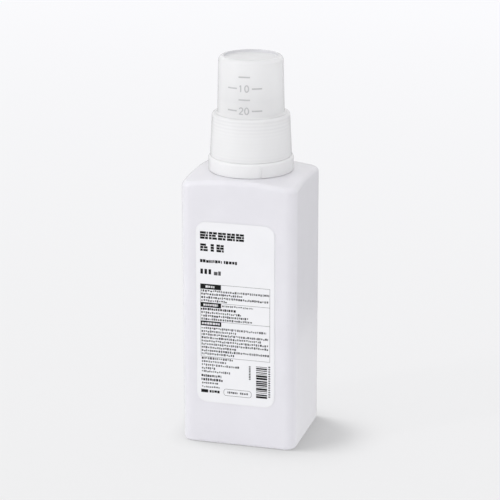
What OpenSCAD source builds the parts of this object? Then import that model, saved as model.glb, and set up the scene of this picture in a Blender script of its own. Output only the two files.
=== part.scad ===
// Refillable laundry detergent bottle: an oblong blow-moulded body with a wide screw neck, a front
// label, a screw-on pouring spout that drains back, and a measuring cup that is also the cap.
// The bottle stands on z = 0 with its axis on Z. The label faces -Y.

/* [Body] */
// Width of the body, along X
body_w = 63; // [58:0.5:80]
// Depth of the body, along Y
body_d = 55.5; // [54:0.5:70]
// Radius of the upright corners
corner_r = 6; // [5:0.5:9]
// Height of the shoulder where the neck leaves it
shoulder_h = 148.5; // [135:0.5:180]
// Radius of the shallow dome that the shoulder follows
dome_r = 168; // [100:1:300]
// Rounding between the sides and the shoulder
edge_r = 2.5; // [2:0.5:5]
// Rounding between the sides and the foot
foot_r = 2; // [2:0.5:4]
// Width of the flat ring that the bottle stands on
foot_w = 4; // [2:0.5:6]
// How far the middle of the base is pushed up
base_rise = 1.8; // [0.5:0.1:3]
// Wall of the blown body
wall = 1; // [0.8:0.1:1.4]

/* [Neck] */
// Radius of the neck's bore
neck_bore_r = 18.6; // [16:0.1:19.5]
// Wall of the neck
neck_wall = 1.5; // [1.2:0.1:2]
// Length of the neck above the shoulder
neck_len = 6.1; // [5.5:0.1:12]
// Height of the neck's thread above its root
neck_thread_h = 1; // [0.5:0.1:1.4]
// Turns of the neck's thread
neck_turns = 1.1; // [1:0.1:1.1]

/* [Threads] */
// Rise of both threads in one turn
pitch = 3.2; // [2.6:0.1:3.4]
// Height of a thread's ridge where it leaves the wall
ridge_w = 1.7; // [1.2:0.1:1.8]
// Free space outside a thread's crest
thread_gap = 0.3; // [0.2:0.05:0.6]

/* [Pouring spout] */
// Wall of the collar that screws over the neck
collar_wall = 1.3; // [1:0.1:2]
// Rounding of the collar's top edge
collar_round = 1.5; // [0.6:0.1:1.5]
// Thickness of the plate between the collar and the rim
plate_t = 1.2; // [1:0.1:2]
// Length of the seal ring that goes into the neck
plug_len = 5; // [3:0.5:8]
// Thickness of the seal ring
plug_t = 1; // [0.8:0.1:1.2]
// Free space around the seal ring
plug_gap = 0.2; // [0.15:0.05:0.4]
// Wall of the upright rim that carries the cap's thread
rim_wall = 1; // [0.8:0.1:1.4]
// Height of the cap's thread above the rim
cap_thread_h = 0.6; // [0.4:0.05:0.8]
// Turns of the cap's thread
cap_turns = 4.5; // [1:0.5:4.5]
// Radius of the spout's channel
spout_bore_r = 7; // [5:0.5:9]
// Wall of the spout
spout_wall = 1.2; // [1:0.1:1.6]
// How far the spout's lip stands above the rim
lip_rise = 4.5; // [2:0.5:12]
// How much lower the spout's back is than its lip
lip_drop = 8; // [4:0.5:9]
// Width of the drain slot behind the spout
slot_w = 4.5; // [3:0.5:6]
// Fall of the drip floor from the rim to the spout
floor_fall = 4.5; // [2:0.5:6]
// Thickness of the drip floor
floor_t = 1.2; // [1:0.1:1.6]
// Free height between the cup's lip and the drip floor
drip_gap = 2.5; // [1:0.5:4]

/* [Measuring cap] */
// Radius of the cup at its closed end
cup_end_r = 17.05; // [13:0.05:17.5]
// Radius of the cup at the ledge
cup_ledge_r = 17.8; // [17.6:0.1:19]
// Height of the cup above the ledge
cup_h = 30.4; // [28:0.1:40]
// Rounding of the cup's closed end
cup_round = 2.4; // [1.2:0.1:3]
// Wall of the cup
cup_wall = 1.1; // [0.8:0.05:1.2]
// Depth of the dish in the cup's closed end
cup_dish = 1.2; // [0.4:0.1:2]
// Height of the skirt
skirt_h = 22.7; // [22:0.1:30]
// Wall of the skirt
skirt_wall = 1; // [0.7:0.05:1.2]
// How much wider the skirt is at its open end than at the ledge
skirt_flare = 1.1; // [0.4:0.1:1.4]
// Rounding of the skirt's upper edge
ledge_round = 1.4; // [0.6:0.1:1.5]
// Thickness of the ledge between the cup and the skirt
ledge_t = 1; // [0.8:0.1:1.2]
// Length of the cup's lip below the ledge
lip_len = 10.7; // [6:0.1:11.5]
// Depth of the seal ring below the ledge
seal_h = 2.5; // [1:0.1:3]
// Free space between the cup's lip and the rim
lip_gap = 0.25; // [0.2:0.05:0.5]
// Volume between two of the cup's marks, in millilitres
mark_ml = 5; // [4:0.5:6]
// Height of a mark above the cup's wall
mark_proud = 0.15; // [0.1:0.05:0.3]
// Turn of the marks from the front, in degrees
mark_turn = 4.2; // [-10:0.1:10]

/* [Label] */
// Width of the label
label_w = 43; // [20:1:46]
// Height of the label
label_h = 101; // [50:1:108]
// Height of the label's lower edge
label_z = 23.9; // [10:0.1:30]
// Sideways place of the label's middle
label_x = -1; // [-2:0.1:2]
// Radius of the label's corners
label_corner_r = 5.5; // [1:0.5:10]
// Thickness of the label
label_t = 0.12; // [0.1:0.01:0.3]

/* [Hidden] */
$fn = 96;

// Vertical free space between two pieces that seat on each other
seat = 0.3;
// How far one solid reaches into another where they join
bite = 0.3;
// A length past every face of the part, for cuts that go right through
through = 400;

// Corner radius and slope of the pushed-up base
base_corner_r = 8;
base_slope = 5;

// Radii and heights of the neck
neck_r = neck_bore_r + neck_wall;
neck_top = shoulder_h + neck_len;

// Radii and heights of the pouring spout
collar_bore_r = neck_r + neck_thread_h + thread_gap;
collar_r = collar_bore_r + collar_wall;
collar_z = dome_z(collar_bore_r) + seat;
plate_z = neck_top + seat;
plate_top = plate_z + plate_t;
plug_r = neck_bore_r - plug_gap;
rim_bore_r = cup_ledge_r + lip_gap;
rim_r = rim_bore_r + rim_wall;
crest_r = rim_r + cap_thread_h;
spout_r = spout_bore_r + spout_wall;

// Heights of the measuring cap
skirt_z = plate_top + seat;
ledge_top = skirt_z + skirt_h;
ledge_z = ledge_top - ledge_t;
lip_z = ledge_z - lip_len;
cup_top = ledge_top + cup_h;
dish_z = cup_top - cup_dish;
cup_roof = dish_z - cup_wall;

// Edge of the dish in the cup's closed end and the run of its sloped side
dish_r = cup_end_r - cup_round - 0.3;
dish_slope = 0.5;

// Heights that the spout takes from the cap
rim_top = ledge_z - seal_h - seat;
drip_z = lip_z - drip_gap;
spout_top = rim_top + lip_rise;

// The cap's thread starts just above the plate and ends below the rim's top
cap_thread_z = plate_top + 2.2;
cap_thread_top = cap_thread_z + pitch * cap_turns;

// The skirt clears the thread's crest at the thread's upper end
skirt_top_r = crest_r + thread_gap + skirt_wall
    - skirt_flare * (ledge_top - cap_thread_top) / skirt_h;
skirt_open_r = skirt_top_r + skirt_flare;

// The stop rib on the collar: its width, its height and its turn from the front
rib_w = 1.1;
rib_proud = 0.3;
rib_turn = 28.4;

// The cup's marks: their height and, in degrees from the middle, where each stretch starts and ends
mark_h = 0.45;
mark_middle = [-10, 10];
mark_sides = [[-30.8, -13.2], [13.2, 30.8]];
mark_count = 4;

// Height of the shoulder's dome at the distance r from the axis
function dome_z(r) = shoulder_h - (r * r - neck_r * neck_r) / (2 * dome_r);

// Outline of a rounded oblong with the half sizes h = [x, y], evenly divided
corner_steps = 8;
flat_steps = 6;
corner_sides = [[1, 1], [-1, 1], [-1, -1], [1, -1]];
function corner_point(h, r, k, i) =
    [corner_sides[k][0] * (h[0] - r), corner_sides[k][1] * (h[1] - r)]
    + r * [cos(90 * (k + i / corner_steps)), sin(90 * (k + i / corner_steps))];
function blend(a, b, s) = a + (b - a) * s;
function outline(h, r) = [
    for (k = [0 : 3]) each concat(
        [for (i = [0 : corner_steps]) corner_point(h, r, k, i)],
        [for (i = [1 : flat_steps - 1])
            blend(corner_point(h, r, k, corner_steps), corner_point(h, r, (k + 1) % 4, 0),
                  i / flat_steps)])];

// One level ring of the body's skin, and a point of a ring that follows the dome
function ring_at(h, r, z) = [for (p = outline(h, r)) [p[0], p[1], z]];
function on_dome(p, drop) = [p[0], p[1], dome_z(norm(p)) - drop];

// The body's skin from the neck down to the middle of the base, moved inwards by inset
neck_steps = 4;
edge_steps = 7;
foot_steps = 4;
function skin(inset) =
    let (h = [body_w / 2 - inset, body_d / 2 - inset], c = corner_r - inset, e = edge_r - inset,
         f = foot_r - inset, one = [1, 1], hole_r = neck_bore_r - bite,
         top = outline(h - e * one, c - e), base = h - (f + foot_w) * one)
    concat(
        [for (i = [0 : neck_steps - 1])
            [for (p = top) on_dome(blend(hole_r * p / norm(p), p, i / neck_steps), inset)]],
        [for (i = [0 : edge_steps]) let (t = 90 - 90 * i / edge_steps, d = e * (1 - cos(t)))
            [for (p = outline(h - d * one, c - d)) on_dome(p, inset + e * (1 - sin(t)))]],
        [for (i = [0 : foot_steps]) let (t = 90 * i / foot_steps, d = f * (1 - cos(t)))
            ring_at(h - d * one, c - d, inset + f * (1 - sin(t)))],
        [ring_at(base, base_corner_r, inset),
         ring_at(base - base_slope * one / 2, base_corner_r, inset + 0.85 * base_rise),
         ring_at(base - base_slope * one, base_corner_r, inset + base_rise)]);

// A closed shell between two skins that both start at the neck and end around the base's middle
module shell(outer, inner) {
    rings = len(outer);
    n = len(outer[0]);
    start = rings * n;
    last = (rings - 1) * n;
    outer_middle = 2 * start;
    inner_middle = 2 * start + 1;
    points = concat([for (r = outer) each r], [for (r = inner) each r],
                    [for (skin = [outer, inner]) [0, 0, skin[rings - 1][0][2]]]);
    sides = [for (j = [0 : rings - 2]) for (i = [0 : n - 1])
        let (a = j * n + i, b = j * n + (i + 1) % n)
        each [[a, b, b + n], [a, b + n, a + n]]];
    rims = [for (i = [0 : n - 1]) let (b = (i + 1) % n)
        each [[i, start + i, start + b], [i, start + b, b],
              [last + i, last + b, outer_middle],
              [start + last + b, start + last + i, inner_middle]]];
    polyhedron(points, concat(
        sides, [for (s = sides) [start + s[2], start + s[1], start + s[0]]], rims));
}

// A helical ridge on a wall of radius r, running up from z, with ends that fade out
turn_steps = 36;
module ridge(r, height, z, turns) {
    n = round(turn_steps * turns);
    function fade(i) = min(1, min(i, n - i) / 4);
    section = [for (i = [0 : n])
        let (a = 360 * i / turn_steps, up = z + pitch * i / turn_steps,
             out = r + max(0.02, height * fade(i)), low = r - bite, foot = ridge_w / 2,
             tip = ridge_w / 5)
        each [for (p = [[low, -foot], [out, -tip], [out, tip], [low, foot]])
            [p[0] * cos(a), p[0] * sin(a), up + p[1]]]];
    flanks = [for (i = [0 : n - 1]) for (k = [0 : 3])
        let (a = 4 * i + k, b = 4 * i + (k + 1) % 4)
        each [[a, b + 4, a + 4], [a, b, b + 4]]];
    polyhedron(section, concat(flanks, [[3, 2, 1, 0]], [[4 * n, 4 * n + 1, 4 * n + 2, 4 * n + 3]]));
}

// Points of a round corner about centre, from one angle to the other
round_steps = 8;
function round_corner(centre, r, from, to) = [
    for (i = [0 : round_steps])
        let (a = from + (to - from) * i / round_steps) centre + r * [cos(a), sin(a)]];

module bottle() {
    color("#eef0f1")
    difference() {
        union() {
            shell(skin(0), skin(wall));
            // The neck starts inside the shoulder's wall
            translate([0, 0, dome_z(neck_r) - wall / 2])
                cylinder(h = neck_top - dome_z(neck_r) + wall / 2, r = neck_r);
            ridge(neck_r, neck_thread_h, neck_top - ridge_w - pitch * neck_turns, neck_turns);
        }
        translate([0, 0, shoulder_h / 2]) cylinder(h = through, r = neck_bore_r);
    }
}

module front_label() {
    color("#fbfbfb")
    translate([label_x, -body_d / 2, label_z])
    rotate([90, 0, 0])
    linear_extrude(label_t)
    union() {
        translate([-label_w / 2, label_corner_r])
            square([label_w, label_h - 2 * label_corner_r]);
        translate([label_corner_r - label_w / 2, 0])
            square([label_w - 2 * label_corner_r, label_h]);
        for (x = [-1, 1]) for (z = [label_corner_r, label_h - label_corner_r])
            translate([x * (label_w / 2 - label_corner_r), z]) circle(label_corner_r);
    }
}

// Collar, plate, seal ring, rim and drip floor of the pouring spout, turned about Z
module spout_body() {
    drip_low = drip_z - floor_fall;
    rotate_extrude()
    polygon(concat(
        [[collar_bore_r, collar_z], [collar_r, collar_z]],
        round_corner([collar_r - collar_round, plate_top - collar_round], collar_round, 0, 90),
        [[rim_r, plate_top], [rim_r, rim_top], [rim_bore_r, rim_top], [rim_bore_r, drip_z],
         [spout_bore_r, drip_low], [spout_bore_r, drip_low - floor_t],
         [rim_bore_r, drip_z - floor_t], [rim_bore_r, plate_top],
         [plug_r - plug_t, plate_z], [plug_r - plug_t, plate_z - plug_len],
         [plug_r, plate_z - plug_len], [plug_r, plate_z], [collar_bore_r, plate_z]]));
}

// The spout itself: a tube that is cut on a slant and slotted at its back
module spout_tube() {
    low = drip_z - floor_fall - floor_t / 2;
    difference() {
        translate([0, 0, low]) cylinder(h = spout_top - low, r = spout_r);
        translate([0, 0, low - 1]) cylinder(h = through, r = spout_bore_r);
        translate([-slot_w / 2, 0, drip_z - floor_fall])
            cube([slot_w, 2 * spout_r, through]);
        translate([0, -spout_r, spout_top]) rotate([-atan(lip_drop / (2 * spout_r)), 0, 0])
            translate([-through / 2, -through / 2, 0]) cube(through);
    }
}

module pouring_spout() {
    color("#f1f3f4")
    union() {
        spout_body();
        spout_tube();
        ridge(rim_r, cap_thread_h, cap_thread_z, cap_turns);
        // The stop rib on the collar's side
        rotate([0, 0, rib_turn - 90]) translate([collar_r - bite, -rib_w / 2, collar_z + 0.6])
            cube([bite + rib_proud, rib_w, plate_top - collar_round - collar_z - 0.9]);
    }
}

// Radius of the cup's outside at the height z
function cup_r(z) = blend(cup_end_r, cup_ledge_r, (cup_top - z) / cup_h);

// Height below the cup's roof that holds the volume v, from the mean radius of the cone
function fill_depth(v, guess, times) =
    times == 0 ? guess
    : fill_depth(v, v / (PI * pow(cup_r(cup_roof - guess / 2) - cup_wall, 2)), times - 1);

// A short raised stretch around the cup at the height z, from one angle to the other
module mark(z, span) {
    rotate([0, 0, mark_turn + span[0] - 90])
    rotate_extrude(angle = span[1] - span[0])
        translate([cup_r(z) - bite, z - mark_h / 2]) square([bite + mark_proud, mark_h]);
}

module measuring_cap() {
    inner_ledge_r = cup_ledge_r - cup_wall;
    inner_round = cup_round - cup_wall;
    color("#f4f6f7")
    union() {
        rotate_extrude()
        polygon(concat(
            [[0, dish_z], [dish_r - dish_slope, dish_z], [dish_r, cup_top]],
            round_corner([cup_end_r - cup_round, cup_top - cup_round], cup_round, 90, 0),
            [[cup_ledge_r, ledge_top]],
            round_corner([skirt_top_r - ledge_round, ledge_top - ledge_round], ledge_round, 90, 0),
            [[skirt_open_r, skirt_z], [skirt_open_r - skirt_wall, skirt_z],
             [skirt_top_r - skirt_wall, ledge_z],
             [rim_r, ledge_z], [rim_r, ledge_z - seal_h], [rim_bore_r, ledge_z - seal_h],
             [rim_bore_r, ledge_z], [cup_ledge_r, ledge_z], [cup_ledge_r, lip_z],
             [inner_ledge_r, lip_z], [inner_ledge_r, ledge_top]],
            round_corner([cup_end_r - cup_round, cup_roof - inner_round], inner_round, 0, 90),
            [[0, cup_roof]]));
        for (i = [1 : mark_count]) {
            z = cup_roof - fill_depth(1000 * mark_ml * i, 6 * i, 6);
            if (i % 2 == 1) mark(z, mark_middle);
            else for (span = mark_sides) mark(z, span);
        }
    }
}

bottle();
front_label();
pouring_spout();
measuring_cap();
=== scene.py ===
"""Looks of the refillable laundry detergent bottle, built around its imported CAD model.

Every piece is made in millimetres from the sizes of the CAD model and ends up in metres, in the
frame of the model: the bottle stands on z = 0, its axis is Z and its label faces -Y.
"""
import math

import bpy
import numpy as np
from mathutils import Matrix, Vector


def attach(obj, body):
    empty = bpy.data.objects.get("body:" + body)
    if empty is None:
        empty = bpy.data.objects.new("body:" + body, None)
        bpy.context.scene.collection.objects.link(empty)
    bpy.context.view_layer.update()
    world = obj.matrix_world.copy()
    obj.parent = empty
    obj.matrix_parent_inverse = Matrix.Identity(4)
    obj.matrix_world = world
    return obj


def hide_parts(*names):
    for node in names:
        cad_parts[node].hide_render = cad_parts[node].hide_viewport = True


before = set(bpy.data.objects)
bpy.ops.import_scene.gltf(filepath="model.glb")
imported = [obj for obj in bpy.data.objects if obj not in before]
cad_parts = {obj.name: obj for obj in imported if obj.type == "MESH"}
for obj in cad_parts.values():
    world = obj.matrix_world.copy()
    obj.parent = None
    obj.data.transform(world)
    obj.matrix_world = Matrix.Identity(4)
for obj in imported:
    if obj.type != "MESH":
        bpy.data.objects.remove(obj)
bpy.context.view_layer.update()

MM = 0.001
SEED = 7

# Body of the bottle, in millimetres
BODY_W, BODY_D = 63.0, 55.5
CORNER_R, EDGE_R, FOOT_R, FOOT_W = 6.0, 2.5, 2.0, 4.0
SHOULDER_H, DOME_R, WALL = 148.5, 168.0, 1.0
BASE_RISE, BASE_CORNER_R, BASE_SLOPE = 1.8, 8.0, 5.0

# Neck and threads
NECK_BORE_R, NECK_WALL, NECK_LEN = 18.6, 1.5, 6.1
NECK_THREAD_H, NECK_TURNS = 1.0, 1.1
PITCH, RIDGE_W, THREAD_GAP = 3.2, 1.7, 0.3
INNER_RIDGE_W, COLLAR_RIDGE_H, SKIRT_RIDGE_H = 1.3, 0.9, 0.55
COLLAR_TURNS, COLLAR_RAISE = 0.8, 0.25
NECK_R = NECK_BORE_R + NECK_WALL
NECK_TOP = SHOULDER_H + NECK_LEN
SEAT, SEAM = 0.3, 0.03

# Pouring spout
COLLAR_WALL, COLLAR_ROUND, PLATE_T = 1.3, 1.5, 1.2
PLUG_LEN, PLUG_T, PLUG_GAP = 5.0, 1.0, 0.2
RIM_WALL, CAP_THREAD_H, CAP_TURNS = 1.0, 0.6, 4.5
SPOUT_BORE_R, SPOUT_WALL, LIP_RISE, LIP_DROP = 7.0, 1.2, 4.5, 8.0
SLOT_W, FLOOR_FALL, FLOOR_T, DRIP_GAP = 4.5, 4.5, 1.2, 2.5
THREAD_RISE = 2.2
RIB_TURN, RIB_W, RIB_PROUD = 28.4, 1.1, 0.3

# Measuring cap
CUP_END_R, CUP_LEDGE_R, CUP_H, CUP_ROUND = 17.05, 17.8, 30.4, 2.4
CUP_WALL, CUP_DISH, SKIRT_H, SKIRT_WALL = 1.1, 1.2, 22.7, 1.0
SKIRT_FLARE, LEDGE_ROUND, LEDGE_T = 1.1, 1.4, 1.0
LIP_LEN, SEAL_H, LIP_GAP = 10.7, 2.5, 0.25
DISH_RIM, DISH_SLOPE = 0.3, 0.5

# The cup's marks: volume between two, turn from the front, spans in degrees and line widths
MARK_ML, MARK_COUNT, MARK_TURN, MARK_LINE = 5.0, 4, 4.2, 0.72
MARK_MIDDLE, MARK_SIDES = [(-10.0, 10.0)], [(-30.8, -13.2), (13.2, 30.8)]
DIGIT_H, DIGIT_LINE, DIGIT_R = 3.4, 0.6, CUP_END_R + 0.4

# Label
LABEL_W, LABEL_H, LABEL_Z, LABEL_X = 43.0, 101.0, 23.9, -1.0
LABEL_CORNER_R, LABEL_T = 5.5, 0.12


def dome_z(r):
    """Height of the shoulder's dome at the distance r from the axis."""
    return SHOULDER_H - (r * r - NECK_R * NECK_R) / (2 * DOME_R)


COLLAR_BORE_R = NECK_R + NECK_THREAD_H + THREAD_GAP
COLLAR_R = COLLAR_BORE_R + COLLAR_WALL
COLLAR_Z = dome_z(COLLAR_BORE_R) + SEAM
PLATE_Z = NECK_TOP + SEAT
PLATE_TOP = PLATE_Z + PLATE_T
SKIRT_Z = PLATE_TOP + SEAM
PLUG_R = NECK_BORE_R - PLUG_GAP
RIM_BORE_R = CUP_LEDGE_R + LIP_GAP
RIM_R = RIM_BORE_R + RIM_WALL
CREST_R = RIM_R + CAP_THREAD_H
SPOUT_R = SPOUT_BORE_R + SPOUT_WALL
LEDGE_TOP = PLATE_TOP + SEAT + SKIRT_H
LEDGE_Z = LEDGE_TOP - LEDGE_T
LIP_Z = LEDGE_Z - LIP_LEN
CUP_TOP = LEDGE_TOP + CUP_H
DISH_Z = CUP_TOP - CUP_DISH
CUP_ROOF = DISH_Z - CUP_WALL
RIM_TOP = LEDGE_Z - SEAL_H - SEAT
DRIP_Z = LIP_Z - DRIP_GAP
DRIP_LOW = DRIP_Z - FLOOR_FALL
SPOUT_TOP = RIM_TOP + LIP_RISE
CAP_THREAD_Z = PLATE_TOP + THREAD_RISE
CAP_THREAD_TOP = CAP_THREAD_Z + PITCH * CAP_TURNS
SKIRT_TOP_R = (CREST_R + THREAD_GAP + SKIRT_WALL
               - SKIRT_FLARE * (LEDGE_TOP - CAP_THREAD_TOP) / SKIRT_H)
SKIRT_OPEN_R = SKIRT_TOP_R + SKIRT_FLARE
DISH_R = CUP_END_R - CUP_ROUND - DISH_RIM


# Mesh helpers

# Furthest that rows of points lie apart, where a thread runs and elsewhere
THREAD_STEP, PLAIN_STEP = 0.13, 1.5
# Slack for telling which radius or height a point has
NEAR = 0.01


def make_object(name, points, faces, smooth=True):
    """A mesh object from points in millimetres."""
    mesh = bpy.data.meshes.new(name)
    mesh.from_pydata((np.asarray(points, float) * MM).tolist(), [], faces)
    mesh.validate()
    mesh.polygons.foreach_set("use_smooth", [smooth] * len(mesh.polygons))
    obj = bpy.data.objects.new(name, mesh)
    bpy.context.scene.collection.objects.link(obj)
    return obj


def grid_faces(rows, columns, first=0, wrap=True, loop=False):
    """Quads between rows of points. wrap closes each row and loop joins the last row to the first."""
    faces = []
    for j in range(rows if loop else rows - 1):
        a, b = first + j * columns, first + (j + 1) % rows * columns
        for i in range(columns if wrap else columns - 1):
            k = (i + 1) % columns
            faces.append((a + i, a + k, b + k, b + i))
    return faces


def fan(middle, first, columns, flip):
    """Triangles from one point to a closed row of points."""
    pairs = [(first + i, first + (i + 1) % columns) for i in range(columns)]
    return [(middle, b, a) if flip else (middle, a, b) for a, b in pairs]


def closed_loft(name, rings):
    """A closed solid through rings of points, with a middle point in its first and last ring."""
    rings = np.asarray(rings, float)
    rows, columns = rings.shape[:2]
    points = np.concatenate([rings.reshape(-1, 3), rings[[0, -1]].mean(1)])
    first, last = rows * columns, rows * columns + 1
    faces = grid_faces(rows, columns)
    faces += fan(first, 0, columns, True) + fan(last, (rows - 1) * columns, columns, False)
    return make_object(name, points, faces)


def rounded(corners, closed, step=9):
    """Points along a line of (r, z, radius) corners, with an arc of that radius at each."""
    count = len(corners)
    line = []
    for i, (r, z, radius) in enumerate(corners):
        here = np.array([r, z])
        if radius == 0 or (not closed and i in (0, count - 1)):
            line.append(here)
            continue
        before = np.array(corners[i - 1][:2]) - here
        after = np.array(corners[(i + 1) % count][:2]) - here
        u, v = before / np.linalg.norm(before), after / np.linalg.norm(after)
        half = math.acos(max(-1.0, min(1.0, float(u @ v)))) / 2
        back = radius / math.tan(half)
        centre = here + (u + v) / np.linalg.norm(u + v) * radius / math.sin(half)
        start, end = here + u * back - centre, here + v * back - centre
        turn = math.atan2(start[0] * end[1] - start[1] * end[0], float(start @ end))
        steps = max(2, round(abs(math.degrees(turn)) / step))
        for k in range(steps + 1):
            a = turn * k / steps
            line.append(centre + np.array([start[0] * math.cos(a) - start[1] * math.sin(a),
                                           start[0] * math.sin(a) + start[1] * math.cos(a)]))
    return np.array(line)


def densified(line, closed, longest):
    """The line with more points wherever two of them are further apart than longest(middle)."""
    points = []
    count = len(line)
    for i in range(count if closed else count - 1):
        a, b = line[i], line[(i + 1) % count]
        steps = max(1, math.ceil(np.linalg.norm(b - a) / longest((a + b) / 2)))
        points += [a + (b - a) * k / steps for k in range(steps)]
    if not closed:
        points.append(line[-1])
    return np.array(points)


def ridge_height(angle, z, start, turns, height, width):
    """Height of a helical ridge at each angle and level z, fading out at both of its ends."""
    best = np.zeros(np.broadcast(angle, z).shape)
    for k in range(math.ceil(turns) + 1):
        turn = angle / (2 * math.pi) + k
        inside = (turn >= 0) & (turn <= turns)
        off = np.abs(z - start - PITCH * turn)
        rise = np.clip((width / 2 - off) / (width * 0.3), 0, 1)
        rise = rise * rise * (3 - 2 * rise)
        fade = np.clip(np.minimum(turn, turns - turn) * 9, 0, 1)
        best = np.maximum(best, np.where(inside, height * rise * fade, 0))
    return best


def turned(name, line, closed, ridges=(), columns=240):
    """A solid turned about Z from a line of (r, z) points. A closed line goes round a hollow, and an
    open one starts and ends on the axis. Each ridge is (r_low, r_high, start, turns, height, width)
    and lies on the points of the line between the two radii and beside its turns."""
    angle = np.arange(columns) * 2 * math.pi / columns
    body = line if closed else line[1:-1]
    r = np.repeat(body[:, :1], columns, 1)
    z = np.repeat(body[:, 1:], columns, 1)
    for low, high, start, turns, height, width in ridges:
        on = (body[:, 0] >= low) & (body[:, 0] <= high)
        lift = ridge_height(angle[None, :], z, start, turns, abs(height), width)
        r = r + np.where(on[:, None], math.copysign(1, height) * lift, 0)
    points = np.stack([r * np.cos(angle), r * np.sin(angle), z], -1)
    rows = len(body)
    if closed:
        return make_object(name, points.reshape(-1, 3), grid_faces(rows, columns, loop=True))
    ends = [[0, 0, line[0][1]], [0, 0, line[-1][1]]]
    faces = grid_faces(rows, columns)
    first = rows * columns
    faces += fan(first, 0, columns, True) + fan(first + 1, first - columns, columns, False)
    return make_object(name, np.concatenate([points.reshape(-1, 3), ends]), faces)


def face_outwards(obj):
    """Turns the faces of a closed mesh so that they all look outwards."""
    mesh = obj.data
    volume = 0.0
    for p in mesh.polygons:
        vs = [mesh.vertices[i].co for i in p.vertices]
        for k in range(1, len(vs) - 1):
            volume += vs[0].dot(vs[k].cross(vs[k + 1]))
    if volume < 0:
        mesh.flip_normals()
    mesh.update()
    return obj


def join(name, parts):
    """One object from several."""
    bpy.ops.object.select_all(action="DESELECT")
    for part in parts:
        part.select_set(True)
    bpy.context.view_layer.objects.active = parts[0]
    bpy.ops.object.join()
    parts[0].name = parts[0].data.name = name
    return parts[0]


# The bottle

CORNER_STEPS = 14
FLAT_STEPS = 14
SIDES = ((1, 1), (-1, 1), (-1, -1), (1, -1))


def outline(hx, hy, r):
    """Points of a rounded oblong with half sizes hx and hy, evenly divided."""
    corners = []
    for k, (sx, sy) in enumerate(SIDES):
        a = np.radians(90 * (k + np.arange(CORNER_STEPS + 1) / CORNER_STEPS))
        corners.append(np.stack([sx * (hx - r) + r * np.cos(a), sy * (hy - r) + r * np.sin(a)], -1))
    points = []
    for k, corner in enumerate(corners):
        points.append(corner)
        start, end = corner[-1], corners[(k + 1) % 4][0]
        s = np.arange(1, FLAT_STEPS)[:, None] / FLAT_STEPS
        points.append(start + (end - start) * s)
    return np.concatenate(points)


def on_dome(p, drop):
    """Points p put on the shoulder's dome, or below it by drop."""
    r = np.hypot(p[:, 0], p[:, 1])
    return np.column_stack([p, dome_z(r) - drop])


def level(p, z):
    """Points p put at the height z."""
    return np.column_stack([p, np.full(len(p), z)])


def body_skin(inset):
    """Rings of the body from the middle of its base up to the dome, moved inwards by inset."""
    hx, hy = BODY_W / 2 - inset, BODY_D / 2 - inset
    c, e, f = CORNER_R - inset, EDGE_R - inset, FOOT_R - inset
    rings = []
    inner = f + FOOT_W
    for s in np.linspace(1, 0, 11):
        shrink = inner + BASE_SLOPE * s
        rise = BASE_RISE * (1 - (1 - s) ** 2.74)
        rings.append(level(outline(hx - shrink, hy - shrink, BASE_CORNER_R), inset + rise))
    for t in np.radians(np.linspace(90, 0, 10)):
        d = f * (1 - math.cos(t))
        rings.append(level(outline(hx - d, hy - d, c - d), inset + f * (1 - math.sin(t))))
    low = rings[-1]
    edge = []
    for t in np.radians(np.linspace(0, 90, 15)):
        d = e * (1 - math.cos(t))
        edge.append(on_dome(outline(hx - d, hy - d, c - d), inset + e * (1 - math.sin(t))))
    for s in np.arange(1, 24) / 24:
        rings.append(low + (edge[0] - low) * s)
    return rings + edge


def ring(columns_at, r, z, ridge=None):
    """A round ring whose points lie at the angles of the outline's points."""
    a = np.arctan2(columns_at[:, 1], columns_at[:, 0]) % (2 * math.pi)
    radius = np.full(len(a), float(r))
    if ridge:
        radius += ridge_height(a, np.full(len(a), z), *ridge)
    return np.column_stack([radius * np.cos(a), radius * np.sin(a), np.full(len(a), z)])


def make_bottle():
    """The blown body with its screw neck, as one closed shell."""
    outer, inner = body_skin(0), body_skin(WALL)
    at = outer[-1][:, :2]
    ridge = (NECK_TOP - RIDGE_W - PITCH * NECK_TURNS, NECK_TURNS, NECK_THREAD_H, RIDGE_W)
    root, lip, step = 0.9, 0.35, 0.12
    rings = list(outer)
    for s in np.arange(1, 13) / 12:
        target = at / np.linalg.norm(at, axis=1)[:, None] * (NECK_R + root)
        rings.append(on_dome(at + (target - at) * s, 0))
    base = dome_z(NECK_R + root)
    for t in np.radians(np.linspace(15, 90, 6)):
        r, z = NECK_R + root * (1 - math.sin(t)), base + root * (1 - math.cos(t))
        rings.append(ring(at, r, z, ridge))
    for z in np.arange(base + root + step, NECK_TOP - lip, step):
        rings.append(ring(at, NECK_R, z, ridge))
    for t in np.radians(np.linspace(0, 90, 5)):
        rings.append(ring(at, NECK_R - lip + lip * math.cos(t), NECK_TOP - lip + lip * math.sin(t)))
    for t in np.radians(np.linspace(90, 180, 5)):
        rings.append(ring(at, NECK_BORE_R + lip + lip * math.cos(t),
                          NECK_TOP - lip + lip * math.sin(t)))
    under = dome_z(NECK_BORE_R) - WALL
    for s in np.arange(1, 9) / 8:
        rings.append(ring(at, NECK_BORE_R, NECK_TOP - lip + (under - NECK_TOP + lip) * s))
    back = inner[-1][:, :2]
    start = at / np.linalg.norm(at, axis=1)[:, None] * NECK_BORE_R
    for s in np.arange(1, 12) / 12:
        rings.append(on_dome(start + (back - start) * s, WALL))
    rings += inner[::-1]
    return face_outwards(closed_loft("bottle_body", rings))


# The pouring spout

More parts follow.
